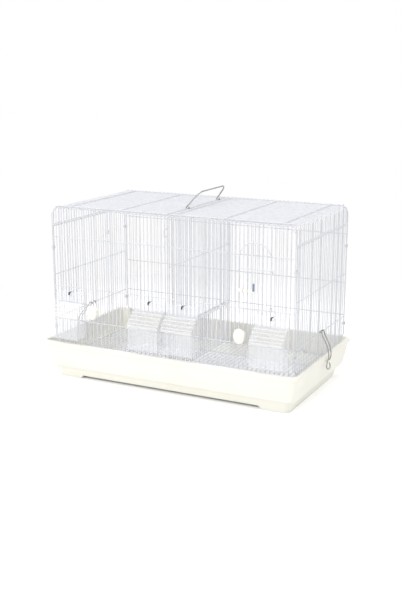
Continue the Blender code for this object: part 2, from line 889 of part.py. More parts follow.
def make_corner_clips():
    """Clips that tie each side wall to the front or back wall."""
    for side, hand in (("left", -1), ("right", 1)):
        for end, way in (("front", -1), ("back", 1)):
            ends = (
                (hand * front_outer, way * (half_depth + edge_offset)),
                (hand * (half_width + edge_offset), way * side_outer),
            )
            heights = (tray_height + corner_clip_low_rise, roof_height - corner_clip_top_drop)
            for level, height in zip(("lower", "upper"), heights):
                name = f"{side}_{end}_{level}_corner_clip"
                ring_clip(name, ends, height, corner_clip_tall, "white_wire")


def handle_point(y, out, up):
    """A point of the leaning handle: out is square to its lean, and up runs along it."""
    across, along = math.cos(handle_lean), math.sin(handle_lean)
    x = handle_place + out * across + up * along
    return (x, y, handle_axis_height - out * along + up * across)


def make_handle():
    """The bail handle. Each end curls into an eye round the roof's cross wire."""
    near, far = handle_near, handle_far
    half = []
    for step in range(handle_eye_steps, -1, -1):
        turn = -handle_eye_turn * step / handle_eye_steps
        half.append((near, -handle_eye * math.cos(turn), handle_eye * math.sin(turn)))
    shoulder = near + handle_splay
    base = handle_rise - handle_corner
    for step in range(handle_corner_steps + 1):
        turn = math.pi / 2 * step / handle_corner_steps
        along = shoulder + handle_corner * (1 - math.cos(turn))
        half.append((along, -handle_eye, base + handle_corner * math.sin(turn)))
    other = [(near + far - y, out, up) for y, out, up in reversed(half)]
    points = [handle_point(*place) for place in half + other]
    bail = tube("carry_handle", [(points, handle_wire)], sides=2, square=False)
    finish_node(bail, "bright_steel", smooth=True)


def make_hasp(side, hand):
    """A looped wire that hooks over the ring wire of a side wall and clips round the tray's lug."""
    axis_x = half_width + cross_offset

    def leg(way):
        path = []
        for out, up, share in hasp_outline:
            y = way * share * side_pitch
            path.append((hand * (axis_x + out), y, side_ring_height + up))
        return path

    loop = tube(side + "_hasp", [(leg(-1) + leg(1)[::-1], hasp_wire)], sides=1, square=False)
    finish_node(loop, "bright_steel", smooth=True)


make_tray()
make_grille()
make_roof()
make_back()
make_dividers()
for side, hand in (("left", -1), ("right", 1)):
    make_side(side + "_side_panel", hand)
    make_front(side + "_front_panel", hand, side == "right")
    make_front_fittings(side, hand)
    make_hasp(side, hand)
    for where in ("inner", "outer"):
        make_feeder(side, where, hand)
make_door("right", 1)
make_corner_clips()
make_handle()


def hang(name, place, nodes):
    """Sets an empty on a joint's axis as the parent of the pieces that move there."""
    axis = bpy.data.objects.new(name + "_axis", None)
    axis.location = place
    cage.objects.link(axis)
    bpy.context.view_layer.update()
    for node in nodes:
        piece = bpy.data.objects[node]
        piece.parent = axis
        piece.matrix_parent_inverse = axis.matrix_world.inverted()
    return axis


middle = (handle_near + handle_far) / 2
hang("carry_handle", (handle_place, middle, handle_axis_height), ["carry_handle"])
hang("centre_divider", (divider_plane, divider_front, divider_top), ["centre_divider"])
door = hang("right_door", (door_outer, -door_plane, sill_height), ["right_door"])
latch = ["right_door_bolt", "right_bolt_knob"]
bolt = hang("right_door_bolt", (door_inner - bolt_lap, -door_plane, bolt_height), latch)
bolt.parent = door
bolt.matrix_parent_inverse = door.matrix_world.inverted()
for side, hand in (("left", -1), ("right", 1)):
    place = (hand * (half_width + cross_offset), 0, side_ring_height)
    hang(side + "_hasp", place, [side + "_hasp"])
    for where in ("inner", "outer"):
        name = f"{side}_{where}_feeder"
        place = (hand * feeder_place(where)[0], -half_depth, ring_height)
        hang(name, place, [name, name + "_hook"])

# The feeders reach further forward than the rim reaches back, so it all moves back by half of that.
forward = max(reach for reach, height in feeder_outline)
backward = max(margin for margin, height, radius in tray_outer_rings)
for obj in list(helpers.objects) + list(cage.objects):
    if obj.parent is None:
        obj.location.y += (forward - backward) / 2
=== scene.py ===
"""Double bird cage: its looks, light and camera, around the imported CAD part.

Metres, +X to the right, the front faces -Y, +Z up. The origin is on the ground under the middle.
"""

import math

import bmesh
import bpy
from mathutils import Matrix, Vector


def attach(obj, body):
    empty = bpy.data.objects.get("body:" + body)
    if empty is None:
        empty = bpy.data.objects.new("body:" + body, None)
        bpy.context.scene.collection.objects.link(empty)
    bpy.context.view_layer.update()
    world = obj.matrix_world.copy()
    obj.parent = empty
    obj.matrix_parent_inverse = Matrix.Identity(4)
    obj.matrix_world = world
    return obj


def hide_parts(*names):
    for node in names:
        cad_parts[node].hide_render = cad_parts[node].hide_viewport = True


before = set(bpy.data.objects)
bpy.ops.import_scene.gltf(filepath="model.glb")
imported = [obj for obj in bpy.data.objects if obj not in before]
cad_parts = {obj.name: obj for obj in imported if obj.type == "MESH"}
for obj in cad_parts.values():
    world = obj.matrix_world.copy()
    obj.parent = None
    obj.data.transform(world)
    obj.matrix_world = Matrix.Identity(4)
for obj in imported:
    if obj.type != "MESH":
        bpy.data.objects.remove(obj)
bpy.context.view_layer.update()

# Camera: it stands to the right of the cage, a little above it, and looks down on the roof.
# Its place, tilt and lens were fitted to the straight edges of the cage in the photograph.
camera_place = (0.9552, -1.8734, 0.7094)
camera_tilt = math.radians(75.89)
camera_roll = math.radians(0.05)
camera_turn = math.radians(26.86)
camera_lens, camera_film, camera_near = 57.73, 36, 0.05

camera = bpy.data.objects.new("camera", bpy.data.cameras.new("camera"))
camera.location = camera_place
camera.rotation_euler = (camera_tilt, camera_roll, camera_turn)
camera.data.lens = camera_lens
camera.data.sensor_width = camera_film
camera.data.clip_start = camera_near
bpy.context.scene.collection.objects.link(camera)
bpy.context.scene.camera = camera
bpy.context.scene.view_settings.view_transform = "Standard"

# Surround: an even white studio all round. Seen directly, mirrored or through plastic it is white;
# as a light on the cage it is weaker, so that nothing pale clips.
surround_strength = 0.60


def feed(tree, value, socket):
    """Gives a socket its value, which is another socket or a constant."""
    if isinstance(value, bpy.types.NodeSocket):
        tree.links.new(value, socket)
    else:
        socket.default_value = value


def maths(tree, operation, first, second):
    """The output of a Math node on two sockets or numbers."""
    node = tree.nodes.new("ShaderNodeMath")
    node.operation = operation
    feed(tree, first, node.inputs[0])
    feed(tree, second, node.inputs[1])
    return node.outputs["Value"]


def ramp(tree, value, start, end, low=0.0, high=1.0):
    """A value that goes from low to high while the given one goes from start to end."""
    node = tree.nodes.new("ShaderNodeMapRange")
    bounds = {"From Min": start, "From Max": end, "To Min": low, "To Max": high}
    for label, number in bounds.items():
        node.inputs[label].default_value = number
    tree.links.new(value, node.inputs["Value"])
    return node.outputs["Result"]


def seen_ray(tree):
    """A value that is 1 where a camera, mirror or see-through ray looks, and 0 for plain light."""
    path = tree.nodes.new("ShaderNodeLightPath").outputs
    mirrored = maths(tree, "MAXIMUM", path["Is Camera Ray"], path["Is Glossy Ray"])
    return maths(tree, "MAXIMUM", mirrored, path["Is Transmission Ray"])


world = bpy.data.worlds.new("surround")
bpy.context.scene.world = world
world.use_nodes = True
tree = world.node_tree
background = tree.nodes["Background"]
background.inputs["Color"].default_value = (1, 1, 1, 1)
strength = ramp(tree, seen_ray(tree), 0, 1, surround_strength, 1)
tree.links.new(strength, background.inputs["Strength"])

# Lamps: three broad round soft boxes, one in front at the left, one at the right and one overhead.
# They lift the front of the cage and its roof above the side wall, as in the photograph.
lamps = {
    "front_lamp": ((-1.3, -3.4, 2.2), 2.6, 60.0),
    "side_lamp": ((3.0, -1.2, 2.0), 2.2, 16.0),
    "top_lamp": ((0.0, 0.2, 3.4), 2.8, 42.0),
}
for name, (place, size, power) in lamps.items():
    light = bpy.data.lights.new(name, "AREA")
    light.shape = "DISK"
    light.size = size
    light.energy = power
    lamp = bpy.data.objects.new(name, light)
    lamp.location = place
    lamp.rotation_mode = "QUATERNION"
    lamp.rotation_quaternion = (-lamp.location).to_track_quat("-Z", "Y")
    bpy.context.scene.collection.objects.link(lamp)

# Studio floor: plain pale paper that runs out of sight. Round the cage it is lifted a little, but
# under the tray the lift is left out: a painted shadow that darkens the floor there beyond its real
# shadow. Further out it fades, for a ray that looks at it, into the same white as the surround.
floor_half, floor_drop = 30.0, 0.0004
floor_colour = (0.93, 0.93, 0.93, 1)
floor_lift = 0.30
fade_start = 0.55
fade_end = 1.10
painted_shadow_middle = (-0.010, 0.012, 0.0)
painted_shadow_half = (0.285, 0.136, 1.0)
painted_shadow_edge = 0.94

bm = bmesh.new()
bmesh.ops.create_grid(bm, x_segments=1, y_segments=1, size=floor_half)
bmesh.ops.translate(bm, verts=bm.verts, vec=(0, 0, -floor_drop))
floor_mesh = bpy.data.meshes.new("studio_floor")
bm.to_mesh(floor_mesh)
bm.free()
floor = bpy.data.objects.new("studio_floor", floor_mesh)
bpy.context.scene.collection.objects.link(floor)
floor_paper = bpy.data.materials.new("floor_paper")
floor_paper.use_nodes = True
tree = floor_paper.node_tree
nodes, links = tree.nodes, tree.links


def axes(tree, vector):
    """The X, Y and Z sockets of a vector."""
    node = tree.nodes.new("ShaderNodeSeparateXYZ")
    tree.links.new(vector, node.inputs["Vector"])
    return node.outputs


shader = nodes["Principled BSDF"]
shader.inputs["Base Color"].default_value = floor_colour
shader.inputs["Roughness"].default_value = 0.9
shader.inputs["Specular IOR Level"].default_value = 0.0
coordinates = nodes.new("ShaderNodeTexCoord").outputs["Object"]
distance = nodes.new("ShaderNodeVectorMath")
distance.operation = "LENGTH"
links.new(coordinates, distance.inputs[0])
fade = ramp(tree, distance.outputs["Value"], fade_start, fade_end)
fade.node.interpolation_type = "SMOOTHSTEP"
looking = seen_ray(tree)
# Painted shadow: inside this box under the tray the floor is not lifted, so it is drawn darker.
under = nodes.new("ShaderNodeMapping")
under.vector_type = "TEXTURE"
under.inputs["Location"].default_value = painted_shadow_middle
under.inputs["Scale"].default_value = painted_shadow_half
links.new(coordinates, under.inputs["Vector"])
away = nodes.new("ShaderNodeVectorMath")
away.operation = "ABSOLUTE"
links.new(under.outputs["Vector"], away.inputs[0])
sides = axes(tree, away.outputs["Vector"])
outside_painted_shadow = ramp(tree, maths(tree, "MAXIMUM", sides["X"], sides["Y"]), painted_shadow_edge, 1)
lift = nodes.new("ShaderNodeEmission")
lifted_here = maths(tree, "MULTIPLY", maths(tree, "MULTIPLY", looking, floor_lift), outside_painted_shadow)
links.new(lifted_here, lift.inputs["Strength"])
lifted = nodes.new("ShaderNodeAddShader")
links.new(shader.outputs["BSDF"], lifted.inputs[0])
links.new(lift.outputs["Emission"], lifted.inputs[1])
white = nodes.new("ShaderNodeEmission")
white.inputs["Color"].default_value = (1, 1, 1, 1)
faded = nodes.new("ShaderNodeMixShader")
links.new(maths(tree, "MULTIPLY", fade, looking), faded.inputs["Fac"])
links.new(lifted.outputs["Shader"], faded.inputs[1])
links.new(white.outputs["Emission"], faded.inputs[2])
links.new(faded.outputs["Shader"], nodes["Material Output"].inputs["Surface"])
floor_mesh.materials.append(floor_paper)

# Base tray: one thick moulding of ivory plastic with a satin skin. Inside at the bottom, on its low
# upward faces, it turns a cooler white: painted shade standing in for the blue-grey shade under the
# floor grille. Its skins go from level to level, with a broad rolled rim that reaches further out
# at the left end, a ledge with rest ribs inside, a lug at each end, and a recess between its two
# feet.
half_width, half_depth, middle_y = 0.288, 0.156, 0.012
rim_margin = 0.0160
# Each ring of the skins, from the outside bottom over the rim and down inside: how far it stands
# outside the wire walls, its height and the radius of its corners.
tray_rings = (
    (-0.0150, 0.0000, 0.0140),
    (-0.0058, 0.0270, 0.0150),
    (0.0030, 0.0300, 0.0160),
    (0.0085, 0.0560, 0.0170),
    (0.0112, 0.0765, 0.0180),
    (0.0146, 0.0775, 0.0200),
    (rim_margin, 0.0800, 0.0210),
    (rim_margin, 0.0862, 0.0210),
    (0.0152, 0.0882, 0.0205),
    (0.0132, 0.0890, 0.0190),
    (0.0082, 0.0890, 0.0150),
    (0.0064, 0.0880, 0.0130),
    (0.0060, 0.0700, 0.0130),
    (0.0022, 0.0380, 0.0100),
    (-0.0074, 0.0380, 0.0120),
    (-0.0078, 0.0365, 0.0120),
    (-0.0172, 0.0024, 0.0120),
)
tray_left_reach = 0.0175
tray_left_corner_share = 0.5
tray_corner_steps = 8
foot_recess = (-0.235, 0.213)
foot_ramp, foot_recess_height = 0.007, 0.008
rib_half, rib_low, rib_top = 0.003, 0.037, 0.042
rib_margins = (-0.007, 0.003)
rib_columns, rib_rows = (-0.190, 0.0, 0.190), (-0.075, 0.075)
lug_size, lug_height, lug_sink = (0.007, 0.004, 0.006), 0.078, 0.002
tray_round = 0.0009
same_place, nearly_same = 1e-6, 1e-5
tray_ivory = (0.975, 0.962, 0.880, 1)
tray_warm = (0.960, 0.945, 0.850, 1)
# Painted shade: the cooler white of the low inner faces under the grille.
bed_shade_colour = (0.94, 0.948, 0.985, 1)
bed_shade_top, bed_shade_fade = 0.036, 0.004
level_low, level_high = 0.2, 0.6
patch_low, patch_high = 0.35, 0.68
grain_share, patch_share, grain_strength = 0.6, 0.4, 0.6


def new_group(name, inputs, outputs):
    """An empty shader group of (label, kind, value) inputs and (label, kind) outputs."""
    group = bpy.data.node_groups.new(name, "ShaderNodeTree")
    for label, kind, value in inputs:
        socket = group.interface.new_socket(label, in_out="INPUT", socket_type=kind)
        socket.default_value = value
    for label, kind in outputs:
        group.interface.new_socket(label, in_out="OUTPUT", socket_type=kind)
    entry, end = group.nodes.new("NodeGroupInput"), group.nodes.new("NodeGroupOutput")
    return group, entry.outputs, end.inputs


def noise(group, coordinates, size, detail):
    """A noise texture on these coordinates whose size is set by a socket in millimetres."""
    texture = group.nodes.new("ShaderNodeTexNoise")
    texture.inputs["Detail"].default_value = detail
    group.links.new(coordinates, texture.inputs["Vector"])
    group.links.new(maths(group, "DIVIDE", 1000.0, size), texture.inputs["Scale"])
    return texture.outputs["Fac"]


def mixed(tree, kind, share, first, second):
    """The first value or colour where the share is 0, and the second where it is 1."""
    node = tree.nodes.new("ShaderNodeMix")
    node.data_type = kind
    for label, value in (("Factor", share), ("A", first), ("B", second)):
        feed(tree, value, node.inputs[label])
    return node.outputs["Result"]


# Skin of any moulded or coated surface: cloudy patches of tone, a fine grain, and gloss from both.
skin, given, result = new_group(
    "moulded_skin",
    [
        ("Light Colour", "NodeSocketColor", (0.9, 0.9, 0.9, 1)),
        ("Deep Colour", "NodeSocketColor", (0.8, 0.8, 0.8, 1)),
        ("Patch Size mm", "NodeSocketFloat", 30.0),
        ("Grain Size mm", "NodeSocketFloat", 0.6),
        ("Smoothest", "NodeSocketFloat", 0.3),
        ("Roughest", "NodeSocketFloat", 0.5),
    ],
    [
        ("Colour", "NodeSocketColor"),
        ("Roughness", "NodeSocketFloat"),
        ("Height", "NodeSocketFloat"),
    ],
)
place = skin.nodes.new("ShaderNodeTexCoord").outputs["Object"]
patches = ramp(skin, noise(skin, place, given["Patch Size mm"], 3.0), patch_low, patch_high)
grain = noise(skin, place, given["Grain Size mm"], 2.0)
grain_part = maths(skin, "MULTIPLY", grain, grain_share)
patch_part = maths(skin, "MULTIPLY", patches, patch_share)
gloss = maths(skin, "ADD", grain_part, patch_part)
tone = mixed(skin, "RGBA", patches, given["Light Colour"], given["Deep Colour"])
roughness = mixed(skin, "FLOAT", gloss, given["Smoothest"], given["Roughest"])
for label, value in (("Colour", tone), ("Roughness", roughness), ("Height", grain)):
    skin.links.new(value, result[label])


def skin_material(name, light, deep, patch, grain_size, smoothest, roughest, depth, metal=0.0):
    """A material whose colour, gloss and grain come from the moulded skin; depth is in metres."""
    made = bpy.data.materials.new(name)
    made.use_nodes = True
    nodes, links = made.node_tree.nodes, made.node_tree.links
    shader = nodes["Principled BSDF"]
    shader.inputs["Metallic"].default_value = metal
    cover = nodes.new("ShaderNodeGroup")
    cover.node_tree = skin
    cover.name = "skin"
    cover.inputs["Light Colour"].default_value = light
    cover.inputs["Deep Colour"].default_value = deep
    cover.inputs["Patch Size mm"].default_value = patch
    cover.inputs["Grain Size mm"].default_value = grain_size
    cover.inputs["Smoothest"].default_value = smoothest
    cover.inputs["Roughest"].default_value = roughest
    bump = nodes.new("ShaderNodeBump")
    bump.inputs["Strength"].default_value = grain_strength
    bump.inputs["Distance"].default_value = depth
    links.new(cover.outputs["Colour"], shader.inputs["Base Color"])
    links.new(cover.outputs["Roughness"], shader.inputs["Roughness"])
    links.new(cover.outputs["Height"], bump.inputs["Height"])
    links.new(bump.outputs["Normal"], shader.inputs["Normal"])
    return made


def add_piece(name, data, body, material, slot, *replaced):
    """Puts a finished piece in the scene on its body, in place of the CAD nodes it stands for."""
    piece = bpy.data.objects.new(name, data)
    bpy.context.scene.collection.objects.link(piece)
    if not data.materials:
        data.materials.append(material)
    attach(piece, body)
    if replaced:
        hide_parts(*replaced)
    return piece


def smooth_mesh(name, bm, sharp=40):
    """Turns a finished bmesh into a mesh with smooth faces between its sharp edges."""
    mesh = bpy.data.meshes.new(name)
    bm.to_mesh(mesh)
    bm.free()
    mesh.shade_smooth()
    mesh.set_sharp_from_angle(angle=math.radians(sharp))
    return mesh


def round_edges(piece, width, sharp):
    """Rounds the edges of a piece that are sharper than this many degrees."""
    edges = piece.modifiers.new("round", "BEVEL")
    edges.width = width
    edges.segments = 2
    edges.limit_method = "ANGLE"
    edges.angle_limit = math.radians(sharp)


ivory = skin_material(
    "moulded_ivory", tray_ivory, tray_warm,
    patch=60.0, grain_size=0.5, smoothest=0.30, roughest=0.48, depth=0.00005,
)
tree = ivory.node_tree
# Painted shade: the low, upward faces inside turn a cooler white, for the shade under the grille.
height = axes(tree, tree.nodes.new("ShaderNodeTexCoord").outputs["Object"])["Z"]
facing = axes(tree, tree.nodes.new("ShaderNodeNewGeometry").outputs["Normal"])["Z"]
low = ramp(tree, height, bed_shade_top, bed_shade_top - bed_shade_fade)
low_floor_shade_mask = maths(tree, "MULTIPLY", low, ramp(tree, facing, level_low, level_high))
shaded_floor_colour = mixed(tree, "RGBA", low_floor_shade_mask, tree.nodes["skin"].outputs["Colour"], bed_shade_colour)
tree.links.new(shaded_floor_colour, tree.nodes["Principled BSDF"].inputs["Base Color"])


def tray_ring(bm, margin, height, radius):
    """A level face with round corners this far outside the walls, and its edges."""
    known = set(bm.edges)
    x, y = half_width + margin, half_depth + margin
    left = -x - tray_left_reach
    places = ((x, y), (left, y), (left, -y), (x, -y))
    corners = [bm.verts.new((u, middle_y + v, height)) for u, v in places]
    bm.faces.new(corners)
    for pair, width in (
        ([corners[0], corners[3]], radius),
        (corners[1:3], radius * tray_left_corner_share),
    ):
        bmesh.ops.bevel(
            bm, geom=pair, offset=width, offset_type="OFFSET", affect="VERTICES",
            segments=tray_corner_steps, profile=0.5, material=-1,
        )
    edges = [edge for edge in bm.edges if edge not in known]
    return edges[0].link_faces[0], edges


def raise_middle(bm, low, lean):
    """Lifts the level face at this height between the two feet, along the slope of its walls."""
    high = low + foot_recess_height
    left, right = foot_recess
    cuts = [((0, 0, high), (0, 0, 1))]
    cuts += [((x, 0, 0), (1, 0, 0)) for x in (left, left + foot_ramp, right - foot_ramp, right)]
    for place, normal in cuts:
        level = [f for f in bm.faces if all(abs(v.co.z - low) < same_place for v in f.verts)]
        geom = list({beside for f in level for e in f.edges for beside in e.link_faces})
        geom += list({e for f in geom for e in f.edges}) + list({v for f in geom for v in f.verts})
        bmesh.ops.bisect_plane(bm, geom=geom, dist=same_place, plane_co=place, plane_no=normal)
    first, last = left + foot_ramp - nearly_same, right - foot_ramp + nearly_same
    for vert in bm.verts:
        if first < vert.co.x < last and abs(vert.co.z - low) < nearly_same:
            vert.co.z = high
            vert.co.y += math.copysign(foot_recess_height * lean, vert.co.y - middle_y)
    bmesh.ops.remove_doubles(bm, verts=bm.verts, dist=2 * nearly_same)


def add_block(bm, place, size):
    """A plain block of the tray, such as a rib or a lug, let into its skin."""
    shape = Matrix.Translation(place) @ Matrix.Diagonal((*size, 1))
    bmesh.ops.create_cube(bm, size=1, matrix=shape)


bm = bmesh.new()
before = []
for i, (margin, height, radius) in enumerate(tray_rings):
    face, edges = tray_ring(bm, margin, height, radius)
    if before:
        bmesh.ops.bridge_loops(bm, edges=before + edges)
    if 0 < i < len(tray_rings) - 1:
        bmesh.ops.delete(bm, geom=[face], context="FACES_ONLY")
    before = edges
for near, beyond in (tray_rings[:2], tray_rings[:-3:-1]):
    raise_middle(bm, near[1], (beyond[0] - near[0]) / (beyond[1] - near[1]))
bmesh.ops.recalc_face_normals(bm, faces=bm.faces)
rib_middle, rib_deep = sum(rib_margins) / 2, rib_margins[1] - rib_margins[0]
rib_height, rib_tall = (rib_low + rib_top) / 2, rib_top - rib_low
for side in (-1, 1):
    y = middle_y + side * (half_depth + rib_middle)
    for x in rib_columns:
        add_block(bm, (x, y, rib_height), (2 * rib_half, rib_deep, rib_tall))
    reach = tray_left_reach if side < 0 else 0
    x = side * (half_width + rib_middle + reach / 2)
    for y in rib_rows:
        add_block(bm, (x, middle_y + y, rib_height), (rib_deep + reach, 2 * rib_half, rib_tall))
    x = side * (half_width + rim_margin + reach + lug_size[0] / 2 - lug_sink)
    add_block(bm, (x, middle_y, lug_height), lug_size)
tray_mesh = smooth_mesh("tray", bm)
tray = add_piece("tray", tray_mesh, "cage_body", ivory, "ivory_plastic", "base_tray")
round_edges(tray, tray_round, 28)

# Floor grille: fifty straight wires laid across two long edge wires and two stiffeners, with a
# thicker wire along each end, all welded and dipped in a white coat. It lies loose on the ribs.
wire, rail_wire, edge_wire, header_wire = 0.0018, 0.0020, 0.0024, 0.0026
weld_sink = 0.0003
crossing = (wire + rail_wire) / 2 - weld_sink
grille_half_width, grille_half_depth = 0.2835, 0.1515
grille_height = 0.0433
grille_gaps = 51
stiffener_place = 0.050
wire_unit = 0.001
# Painted light and shade: the thin wires' coat is a greyer lilac copy, the heavier wires' a whiter
# one.
shaded_coat_light, shaded_coat_deep = (0.790, 0.798, 0.830, 1), (0.715, 0.725, 0.762, 1)
lit_coat_light, lit_coat_deep = (0.985, 0.985, 0.988, 1), (0.955, 0.957, 0.965, 1)

coat = {"patch": 9.0, "grain_size": 0.35, "smoothest": 0.24, "roughest": 0.42, "depth": 0.00002}
shaded_thin_coat = skin_material("thin_wire_coat_painted_shade", shaded_coat_light, shaded_coat_deep, **coat)
lit_thick_coat = skin_material("thick_wire_coat_painted_light", lit_coat_light, lit_coat_deep, **coat)


def bent(points, bend, steps=5):
    """The points of a wire whose corners are bent round, starting this far before each corner."""
    points = [Vector(point) for point in points]
    path = [points[0]]
    for before, corner, after in zip(points, points[1:], points[2:]):
        start = corner + (before - corner).normalized() * bend
        end = corner + (after - corner).normalized() * bend
        for step in range(steps + 1):
            share = step / steps
            path.append(start.lerp(corner, share).lerp(corner.lerp(end, share), share))
    path.append(points[-1])
    return path


def add_wires(name, body, wires, *replaced, material=shaded_thin_coat, slot="white_wire", roundness=2):
    """A piece of round wires from (points, thickness) pairs. Thick ones take a whiter coat: painted
    light.
    """
    curve = bpy.data.curves.new(name, "CURVE")
    curve.dimensions = "3D"
    curve.bevel_depth = wire_unit
    curve.bevel_resolution = roundness
    curve.use_fill_caps = True
    for points, thickness in wires:
        spline = curve.splines.new("POLY")
        spline.points.add(len(points) - 1)
        for place, point in zip(spline.points, points):
            place.co = (*point, 1)
            place.radius = thickness / (2 * wire_unit)
        spline.material_index = int(material is shaded_thin_coat and thickness >= rail_wire)
    curve.materials.append(material)
    if material is shaded_thin_coat:
        curve.materials.append(lit_thick_coat)
    drawn = bpy.data.objects.new(name, curve)
    bpy.context.scene.collection.objects.link(drawn)
    mesh = bpy.data.meshes.new_from_object(drawn)
    bpy.data.objects.remove(drawn)
    bpy.data.curves.remove(curve)
    return add_piece(name, mesh, body, material, slot, *replaced)


def wire_x(start, end, y, z, thickness):
    """A straight wire from left to right."""
    return ([(start, y, z), (end, y, z)], thickness)


def wire_y(x, z, reach, thickness):
    """A straight wire from front to back, this far both ways from the middle of the cage."""
    return ([(x, middle_y - reach, z), (x, middle_y + reach, z)], thickness)


def wire_z(x, y, low, high, thickness):
    """A straight upright wire."""
    return ([(x, y, low), (x, y, high)], thickness)


def spaced(start, end, gaps):
    """Evenly spaced places from start to end, with both."""
    return [start + (end - start) * i / gaps for i in range(gaps + 1)]


wires = []
reach = grille_half_width
for x in spaced(-reach, reach, grille_gaps)[1:-1]:
    wires.append(wire_y(x, grille_height, grille_half_depth, wire))
for side in (-1, 1):
    wires.append(wire_y(side * reach, grille_height + crossing / 2, grille_half_depth, edge_wire))
    for place, lift in ((grille_half_depth, 0.0), (stiffener_place, crossing)):
        y = middle_y + side * place
        wires.append(wire_x(-reach, reach, y, grille_height + lift, rail_wire))
add_wires("wire_floor", "cage_body", wires, "floor_grille")

# Back panel: fifty-eight coated uprights welded to a foot wire and three long wires outside. Their
# tops are bent over the roof and end in a wire; the two outermost are drawn in at both ends.
foot_height = 0.0435
band_height, band_depth, band_bend = 0.3939, 0.014, 0.0035
band_end_height = 0.3944
rail_heights = (0.142, 0.217, 0.328)
back_outer, back_gaps = 0.2876, 57
corner_foot, corner_foot_end = 0.096, 0.088
corner_top, corner_top_end = 0.379, 0.3895
corner_bend = 0.004


def upright(x, way, sections, thickness=wire):
    """An upright wire of the front or back wall in sections, the last one bent over the roof."""
    y = middle_y + way * half_depth
    made = [wire_z(x, y, low, high, thickness) for low, high in sections]
    # The bend starts at the very top, so the wire turns there as tightly as it can.
    top = (x, y, band_height)
    made[-1][0][1:] = bent([top, top, (x, y - way * band_depth, band_height)], band_bend)[1:]
    return made


def corner_upright(x, beside, way):
    """The outermost wire of a wall, bent inwards at its foot and its top."""
    y = middle_y + way * (half_depth + crossing / 2)
    points = [
        (beside, y, corner_foot_end),
        (x, y, corner_foot),
        (x, y, corner_top),
        (beside, y, corner_top_end),
    ]
    return (bent(points, corner_bend), edge_wire)


places = spaced(-back_outer, back_outer, back_gaps)
wires = []
for x in places[1:-1]:
    wires += upright(x, 1, [(foot_height, band_height)])
wires.append(corner_upright(places[0], places[1], 1))
wires.append(corner_upright(places[-1], places[-2], 1))
back_y = middle_y + half_depth
wires.append(wire_x(places[1], places[-2], back_y, foot_height, edge_wire))
wires.append(wire_x(places[1], places[-2], back_y - band_depth, band_end_height, edge_wire))
for z in rail_heights:
    wires.append(wire_x(places[0], places[-1], back_y + crossing, z, rail_wire))
add_wires("back_wall", "cage_body", wires, "back_panel")

# Side panels: thirty-one coated uprights on a foot wire and a top wire, with two long wires
# outside. The outermost uprights are bent inwards at the foot, where they enter the tray.
side_outer, side_gaps, side_foot_inset = 0.1509, 30, 0.010
side_rails = (0.141, 0.240)
side_top = 0.3505
side_ys = spaced(middle_y - side_outer, middle_y + side_outer, side_gaps)

for side, hand in (("left", -1), ("right", 1)):
    x = hand * half_width
    wires = [wire_z(x, y, foot_height, side_top, wire) for y in side_ys[1:-1]]
    edge = hand * (half_width + crossing / 2)
    for y, beside in ((side_ys[0], side_ys[1]), (side_ys[-1], side_ys[-2])):
        points = [(edge, beside, corner_foot_end), (edge, y, corner_foot), (edge, y, side_top)]
        wires.append((bent(points, corner_bend), edge_wire))
    wires.append(wire_y(x, foot_height, side_outer - side_foot_inset, edge_wire))
    wires.append(wire_y(x, side_top, side_outer + edge_wire / 2, edge_wire))
    for z in side_rails:
        wires.append(wire_y(hand * (half_width + crossing), z, side_outer, rail_wire))
    add_wires(side + "_wall", "cage_body", wires, side + "_side_panel")

# Roof: thirty-one coated wires run from side to side and bend down over both walls to an edge wire.
# Six stronger wires from front to back are welded on top of them, two of them close to the middle.
roof_height, roof_end = 0.392, 0.354
roof_bend = 0.010
roof_crosses = (0.2529, 0.1241, 0.008)
cross_half, cross_dip = 0.1405, 0.0025
cross_height = roof_height + crossing

wires = []
for i, y in enumerate(side_ys):
    outermost = i in (0, side_gaps)
    inset = crossing / 2 if outermost else 0.0
    x, z = half_width - inset, roof_height - inset
    points = [(-x, y, roof_end), (-x, y, z), (x, y, z), (x, y, roof_end)]
    wires.append((bent(points, roof_bend, 7), edge_wire if outermost else wire))
for hand in (-1, 1):
    wires.append(wire_y(hand * half_width, roof_end, side_outer + edge_wire / 2, edge_wire))
    for place in roof_crosses:
        low, high = middle_y - cross_half, middle_y + cross_half
        points = [
            (hand * place, low, roof_height),
            (hand * place, low + cross_dip, cross_height),
            (hand * place, high - cross_dip, cross_height),
            (hand * place, high, roof_height),
        ]
        wires.append((bent(points, cross_dip / 2, 3), rail_wire))
add_wires("roof", "cage_body", wires, "roof_panel")

# Dividers: a fixed coated screen below, a folded white channel on it, and a screen that slides in
# the channel and comes out through the slot in the front by a small wire pull at its upper corner.
lower_foot, lower_top = 0.0480, 0.1375
divider_plane, divider_front, divider_back = -0.0007, -0.1415, 0.164
divider_bottom, divider_top = 0.1415, 0.3885
divider_cross = 0.283
channel_round, same_plane = 0.0002, math.radians(0.5)
pull_reach, pull_low, pull_high, pull_bend = 0.0145, 0.350, 0.366, 0.003


def rounded_copy(name, node, width, segments=2, keep_smooth=30):
    """A merged copy of a CAD node's mesh, its edges rounded where sharper than these degrees."""
    bm = bmesh.new()
    bm.from_mesh(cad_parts[node].data)
    bmesh.ops.remove_doubles(bm, verts=bm.verts, dist=same_place)
    bmesh.ops.dissolve_limit(bm, angle_limit=same_plane, verts=bm.verts, edges=bm.edges)
    limit = math.radians(keep_smooth)
    sharp = [edge for edge in bm.edges if edge.is_manifold and edge.calc_face_angle() > limit]
    bmesh.ops.bevel(
        bm, geom=sharp, offset=width, offset_type="OFFSET", affect="EDGES", segments=segments,
        profile=0.5, material=-1, clamp_overlap=True,
    )
    return smooth_mesh(name, bm)


wires = [wire_z(0, y, lower_foot, lower_top, wire) for y in side_ys]
for z in (lower_foot, lower_top):
    wires.append(wire_y(0, z, side_outer + edge_wire / 2, edge_wire))
add_wires("lower_screen", "cage_body", wires, "lower_divider")
channel_mesh = rounded_copy("divider_channel", "divider_rail", channel_round)
add_piece("divider_channel", channel_mesh, "cage_body", lit_thick_coat, "white_wire", "divider_rail")

